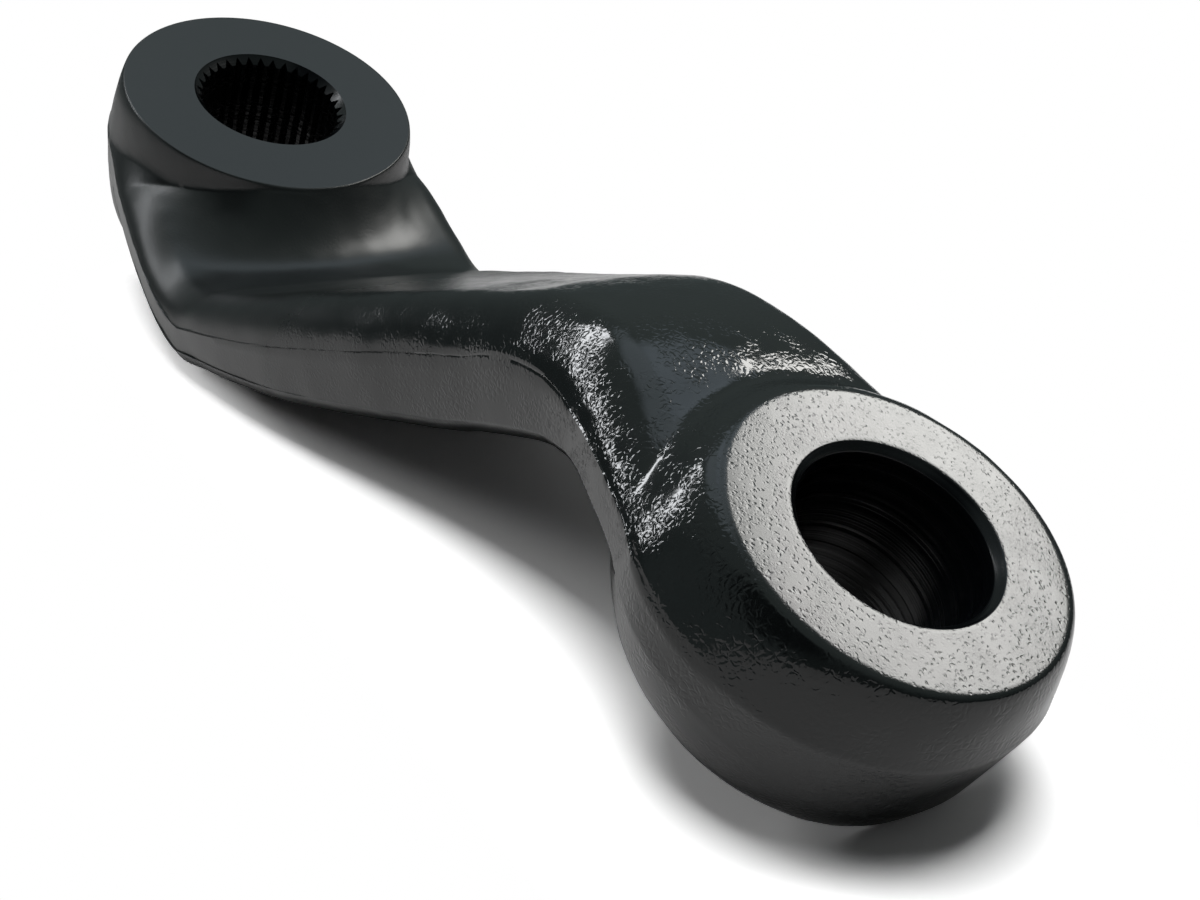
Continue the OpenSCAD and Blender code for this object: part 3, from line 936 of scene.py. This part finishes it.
def bored_paint(name):
    """Thin black paint in a bore, over the rings that the boring tool leaves."""
    material = bpy.data.materials.new(name)
    material.use_nodes = True
    nodes = material.node_tree.nodes
    link = material.node_tree.links.new
    shader = nodes["Principled BSDF"]
    shader.inputs["Base Color"].default_value = (*BORE_COLOUR, 1)
    shader.inputs["Specular IOR Level"].default_value = BORE_SPECULAR
    rings = nodes.new("ShaderNodeTexNoise")
    rings.noise_dimensions = "1D"
    rings.inputs["Scale"].default_value = 1 / RING_SPACING
    rings.inputs["Detail"].default_value = RING_DETAIL
    height = nodes.new("ShaderNodeSeparateXYZ")
    link(place_node(nodes), height.inputs["Vector"])
    link(height.outputs["Z"], rings.inputs["W"])
    sheen = nodes.new("ShaderNodeMapRange")
    sheen.inputs["To Min"].default_value = BORE_ROUGHNESS[0]
    sheen.inputs["To Max"].default_value = BORE_ROUGHNESS[1]
    link(rings.outputs["Fac"], sheen.inputs["Value"])
    link(sheen.outputs["Result"], shader.inputs["Roughness"])
    bump = nodes.new("ShaderNodeBump")
    bump.inputs["Distance"].default_value = RING_DEPTH
    link(rings.outputs["Fac"], bump.inputs["Height"])
    link(bump.outputs["Normal"], shader.inputs["Normal"])
    return material


def hammer(mesh):
    """Gives the forged points of a mesh their waves, and drops the attribute with their shares."""
    count = len(mesh.vertices)
    places = np.zeros(count * 3)
    normals = np.zeros(count * 3)
    shares = np.zeros(count)
    mesh.vertices.foreach_get("co", places)
    mesh.vertex_normals.foreach_get("vector", normals)
    mesh.attributes[FORGED_SHARE].data.foreach_get("value", shares)
    mesh.attributes.remove(mesh.attributes[FORGED_SHARE])
    places = hammered(places.reshape(-1, 3) / MM, normals.reshape(-1, 3), shares)
    mesh.vertices.foreach_set("co", (places * MM).ravel())


# Angle between two faces from which their edge is shown sharp
SHARP_ANGLE = math.radians(40)


def build_arm():
    """The painted forging, with its serrated bore welded in."""
    group = rough_paint_group()
    skin_paint = black_paint(
        "painted_skin", group, SKIN_PILLOW, SKIN_RELIEF, SKIN_DENTS, SKIN_ROUGHNESS, SKIN_COLOURS)
    face_paint = black_paint(
        "painted_face", group, FACE_PILLOW, FACE_RELIEF, FACE_DENTS, FACE_ROUGHNESS, FACE_COLOURS)
    bore_paint = bored_paint("painted_bore")
    mesh = forging_mesh()
    hammer(mesh)
    serrated = serrated_bore_mesh(bore_paint)
    for face in serrated.polygons:
        face.material_index = PAINTED_BORE
    weld(mesh, [serrated])
    for material in (skin_paint, face_paint, bore_paint):
        mesh.materials.append(material)
    mesh.shade_smooth()
    mesh.set_sharp_from_angle(angle=SHARP_ANGLE)
    arm = bpy.data.objects.new("painted_forging", mesh)
    bpy.context.scene.collection.objects.link(arm)
    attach(arm, "root")
    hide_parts("pitman_arm")


# The table: the arm lies on the foot bend's underside and the stud eye's lower rim, so its frame leans.
# Lengths are in metres.
TABLE_LEAN = math.radians(25.9)
TABLE_DEPTH = 0.0413
TABLE_R = 0.9
TABLE_CENTRE = 0.09
TABLE_SIDES = 64
TABLE_ROUGHNESS = 0.8
TABLE_SPECULAR = 0.1
# Stretch of the table under the arm, and the distances from it at which the table fades to white,
# as the camera sees it and as everything else does
SHADED_FROM = 0.02
SHADED_TO = 0.17
SEEN_FADE = (0.02, 0.04)
LIT_FADE = (0.3, 0.6)
# Its colour for the same two: the camera sees it overexposed
SEEN_WHITE = (2.0, 2.0, 2.0)
LIT_WHITE = (0.7, 0.7, 0.7)


def table_material():
    """White table top, seen from above only, which fades into the white surround."""
    material = bpy.data.materials.new("white_table")
    material.use_nodes = True
    nodes = material.node_tree.nodes
    link = material.node_tree.links.new
    shader = nodes["Principled BSDF"]
    shader.inputs["Roughness"].default_value = TABLE_ROUGHNESS
    shader.inputs["Specular IOR Level"].default_value = TABLE_SPECULAR
    along = nodes.new("ShaderNodeSeparateXYZ")
    link(place_node(nodes), along.inputs["Vector"])
    nearest = nodes.new("ShaderNodeClamp")
    nearest.inputs["Min"].default_value = SHADED_FROM
    nearest.inputs["Max"].default_value = SHADED_TO
    link(along.outputs["X"], nearest.inputs["Value"])
    gap = nodes.new("ShaderNodeMath")
    gap.operation = "SUBTRACT"
    link(along.outputs["X"], gap.inputs[0])
    link(nearest.outputs["Result"], gap.inputs[1])
    beside = nodes.new("ShaderNodeCombineXYZ")
    link(gap.outputs[0], beside.inputs["X"])
    link(along.outputs["Y"], beside.inputs["Y"])
    far = nodes.new("ShaderNodeVectorMath")
    far.operation = "LENGTH"
    link(beside.outputs["Vector"], far.inputs[0])

    def fade(span):
        left = nodes.new("ShaderNodeMapRange")
        left.interpolation_type = "SMOOTHSTEP"
        left.inputs["From Min"].default_value = span[0]
        left.inputs["From Max"].default_value = span[1]
        left.inputs["To Min"].default_value = 1.0
        left.inputs["To Max"].default_value = 0.0
        link(far.outputs["Value"], left.inputs["Value"])
        return left.outputs["Result"]

    ray = nodes.new("ShaderNodeLightPath")
    white = colour_mix(nodes, link, ray.outputs["Is Camera Ray"], LIT_WHITE, SEEN_WHITE)
    link(white, shader.inputs["Base Color"])
    kept = nodes.new("ShaderNodeMix")
    link(ray.outputs["Is Camera Ray"], kept.inputs["Factor"])
    link(fade(LIT_FADE), kept.inputs["A"])
    link(fade(SEEN_FADE), kept.inputs["B"])
    side = nodes.new("ShaderNodeNewGeometry")
    front = nodes.new("ShaderNodeMath")
    front.operation = "SUBTRACT"
    front.inputs[0].default_value = 1.0
    link(side.outputs["Backfacing"], front.inputs[1])
    shown = nodes.new("ShaderNodeMath")
    shown.operation = "MULTIPLY"
    link(front.outputs[0], shown.inputs[0])
    link(kept.outputs["Result"], shown.inputs[1])
    link(shown.outputs[0], shader.inputs["Alpha"])
    return material


def table_height(x):
    """Height of the table under a point at x, in metres."""
    return (x * math.sin(TABLE_LEAN) - TABLE_DEPTH) / math.cos(TABLE_LEAN)


def build_table():
    """The round table top under the arm."""
    shape = bmesh.new()
    bmesh.ops.create_circle(shape, cap_ends=True, segments=TABLE_SIDES, radius=TABLE_R)
    for corner in shape.verts:
        x = TABLE_CENTRE + corner.co.x * math.cos(TABLE_LEAN)
        corner.co = (x, corner.co.y, table_height(x))
    mesh = bpy.data.meshes.new("table")
    shape.to_mesh(mesh)
    shape.free()
    mesh.materials.append(table_material())
    table = bpy.data.objects.new("table", mesh)
    bpy.context.scene.collection.objects.link(table)


def over_table(round_angle, height_angle):
    """Direction given in degrees round the table, from along the arm, and in degrees over it."""
    around = math.radians(round_angle)
    height = math.radians(height_angle)
    along = Vector((math.cos(TABLE_LEAN), 0, math.sin(TABLE_LEAN)))
    up = Vector((-math.sin(TABLE_LEAN), 0, math.cos(TABLE_LEAN)))
    flat = math.cos(around) * along + math.sin(around) * Vector((0, 1, 0))
    return math.cos(height) * flat + math.sin(height) * up


def softbox(name, place, distance, ends, thickness, radiance, colour, mirrored):
    """A soft lamp at a distance from a place, which fills the view from there between two directions.

    A lamp is either only mirrored or only sheds light, so that each can be set alone."""
    first, last = [over_table(*end) for end in ends]
    middle = (first + last).normalized()
    length = 2 * distance * math.tan(first.angle(last) / 2)
    width = 2 * distance * math.tan(math.radians(thickness) / 2)
    lamp = bpy.data.lights.new(name, "AREA")
    lamp.shape = "RECTANGLE"
    lamp.size = length
    lamp.size_y = width
    lamp.energy = radiance * math.pi * length * width
    lamp.color = colour
    along = (last - first).normalized()
    across = middle.cross(along)
    turn = Matrix((along, across, middle)).transposed()
    holder = bpy.data.objects.new(name, lamp)
    holder.location = Vector(place) + middle * distance
    holder.rotation_euler = turn.to_euler()
    holder.visible_diffuse = not mirrored
    holder.visible_glossy = mirrored
    bpy.context.scene.collection.objects.link(holder)


# Lamps: the place that each serves, the directions round and over the table between which it stands, its
# distance in metres, its height in degrees, its radiance and its colour
STUD_FACE_PLACE = (0.162, 0.0, 0.0665)
WINDOW_ENDS = ((73, 45.5), (110, 42.0))
WINDOW_DISTANCE = 0.9
WINDOW_HEIGHT = 17
WINDOW_RADIANCE = 11.0
WINDOW_COLOUR = (1.0, 0.99, 0.96)
CREST_PLACE = (0.144, -0.019, 0.06)
STRIP_ENDS = ((-141, 16), (-174, 49))
STRIP_DISTANCE = 0.4
STRIP_HEIGHT = 3.5
STRIP_RADIANCE = 15.0
STRIP_COLOUR = (0.95, 0.97, 1.0)
TABLE_PLACE = (0.1, 0.0, 0.0)
OVERHEAD_ENDS = ((100, 78), (-80, 66))
OVERHEAD_DISTANCE = 0.8
OVERHEAD_HEIGHT = 34
OVERHEAD_RADIANCE = 8.0
OVERHEAD_COLOUR = (1.0, 1.0, 1.0)
SIDE_ENDS = ((-128, 24), (-160, 24))
SIDE_DISTANCE = 0.8
SIDE_HEIGHT = 16
SIDE_RADIANCE = 4.5
SIDE_COLOUR = (1.0, 1.0, 1.0)


def build_lights():
    """A window and a strip that the paint mirrors, and two lamps that light the arm and the table."""
    softbox(
        "window", STUD_FACE_PLACE, WINDOW_DISTANCE, WINDOW_ENDS, WINDOW_HEIGHT, WINDOW_RADIANCE,
        WINDOW_COLOUR, mirrored=True)
    softbox(
        "strip", CREST_PLACE, STRIP_DISTANCE, STRIP_ENDS, STRIP_HEIGHT, STRIP_RADIANCE,
        STRIP_COLOUR, mirrored=True)
    softbox(
        "overhead", TABLE_PLACE, OVERHEAD_DISTANCE, OVERHEAD_ENDS, OVERHEAD_HEIGHT, OVERHEAD_RADIANCE,
        OVERHEAD_COLOUR, mirrored=False)
    softbox(
        "side", TABLE_PLACE, SIDE_DISTANCE, SIDE_ENDS, SIDE_HEIGHT, SIDE_RADIANCE,
        SIDE_COLOUR, mirrored=False)


# The surround: white to the camera. Mirrored, it is a room that is white below the table's level, dim over
# the table and less dim overhead. It has a faint spot low on the near side, a pale one and a bluish one high
# over the far end, and a dark one on the near side. A spot has a direction, and the angles from it at which
# it is whole and gone. Levels are sines of the height over the table.
WHITE_BELOW = -0.3
DIM_FROM = -0.1
DIM_TO = 0.1
HIGH_FROM = 0.85
DIM_ROOM = (0.09, 0.11, 0.11)
HIGH_ROOM = (0.28, 0.34, 0.33)
NEAR_ROOM = (0.2, 0.24, 0.24)
NEAR_SPOT = ((-95, 5), 25, 45)
PALE_ROOM = (0.85, 1.0, 1.08)
PALE_SPOT = ((170, 70), 9, 21)
BLUE_ROOM = (0.95, 1.12, 1.25)
BLUE_SPOT = ((121, 60), 5, 15)
DARK_ROOM = (0.02, 0.021, 0.023)
DARK_SPOT = ((-65, 32), 15, 32)

# Light that the surround sheds: less from the near side
FILL = (0.05, 0.05, 0.05)
NEAR_FILL = (0.01, 0.01, 0.01)
NEAR_FILL_SPOT = ((-80, 5), 40, 85)


def room_spot(nodes, link, direction, spot):
    """Share of a spot of the room in a direction: 1 inside its inner angle, 0 outside its outer one."""
    centre, inner, outer = spot
    towards = nodes.new("ShaderNodeVectorMath")
    towards.operation = "DOT_PRODUCT"
    link(direction, towards.inputs[0])
    towards.inputs[1].default_value = over_table(*centre)
    share = nodes.new("ShaderNodeMapRange")
    share.interpolation_type = "SMOOTHSTEP"
    share.inputs["From Min"].default_value = math.cos(math.radians(outer))
    share.inputs["From Max"].default_value = math.cos(math.radians(inner))
    link(towards.outputs["Value"], share.inputs["Value"])
    return share.outputs["Result"]


def colour_mix(nodes, link, share, first, second):
    """Mix of two colours, each given as a value or as a socket."""
    blend = nodes.new("ShaderNodeMix")
    blend.data_type = "RGBA"
    link(share, blend.inputs["Factor"])
    for name, colour in (("A", first), ("B", second)):
        if isinstance(colour, tuple):
            blend.inputs[name].default_value = (*colour, 1)
        else:
            link(colour, blend.inputs[name])
    return blend.outputs["Result"]


def build_surround():
    """The world, which the camera, the gloss paint and the light each see in their own way."""
    world = bpy.data.worlds.new("surround")
    world.use_nodes = True
    nodes = world.node_tree.nodes
    link = world.node_tree.links.new
    direction = nodes.new("ShaderNodeTexCoord").outputs["Generated"]
    height = nodes.new("ShaderNodeVectorMath")
    height.operation = "DOT_PRODUCT"
    link(direction, height.inputs[0])
    height.inputs[1].default_value = over_table(0, 90)

    def rising(low, high):
        share = nodes.new("ShaderNodeMapRange")
        share.interpolation_type = "SMOOTHSTEP"
        share.inputs["From Min"].default_value = low
        share.inputs["From Max"].default_value = high
        link(height.outputs["Value"], share.inputs["Value"])
        return share.outputs["Result"]

    white = (1.0, 1.0, 1.0)
    room = colour_mix(nodes, link, rising(DIM_TO, HIGH_FROM), DIM_ROOM, HIGH_ROOM)
    spots = (
        (NEAR_SPOT, NEAR_ROOM), (PALE_SPOT, PALE_ROOM), (BLUE_SPOT, BLUE_ROOM), (DARK_SPOT, DARK_ROOM))
    for spot, colour in spots:
        room = colour_mix(nodes, link, room_spot(nodes, link, direction, spot), room, colour)
    room = colour_mix(nodes, link, rising(WHITE_BELOW, DIM_FROM), white, room)
    ray = nodes.new("ShaderNodeLightPath")
    fill = colour_mix(nodes, link, room_spot(nodes, link, direction, NEAR_FILL_SPOT), FILL, NEAR_FILL)
    mirrored = colour_mix(nodes, link, ray.outputs["Is Glossy Ray"], fill, room)
    through = nodes.new("ShaderNodeMath")
    through.operation = "MAXIMUM"
    link(ray.outputs["Is Camera Ray"], through.inputs[0])
    link(ray.outputs["Is Transmission Ray"], through.inputs[1])
    seen = colour_mix(nodes, link, through.outputs[0], mirrored, white)
    link(seen, nodes["Background"].inputs["Color"])
    bpy.context.scene.world = world


# The camera stands close to the stud eye and looks down along the arm: metres, degrees, and millimetres
# for the lens and its sensor
CAMERA_PLACE = (0.20677, -0.09309, 0.151)
CAMERA_TURN = (43.5477, -18.8835, 61.5858)
CAMERA_LENS = 39.0
CAMERA_SENSOR = 36.0
CAMERA_NEAREST = 0.005


def build_camera():
    """The camera of the photograph."""
    data = bpy.data.cameras.new("camera")
    data.lens = CAMERA_LENS
    data.sensor_fit = "HORIZONTAL"
    data.sensor_width = CAMERA_SENSOR
    data.clip_start = CAMERA_NEAREST
    camera = bpy.data.objects.new("camera", data)
    camera.location = CAMERA_PLACE
    camera.rotation_euler = Euler([math.radians(a) for a in CAMERA_TURN], "XYZ")
    bpy.context.scene.collection.objects.link(camera)
    bpy.context.scene.camera = camera


build_arm()
build_table()
build_lights()
build_surround()
build_camera()
bpy.context.scene.view_settings.view_transform = "Standard"
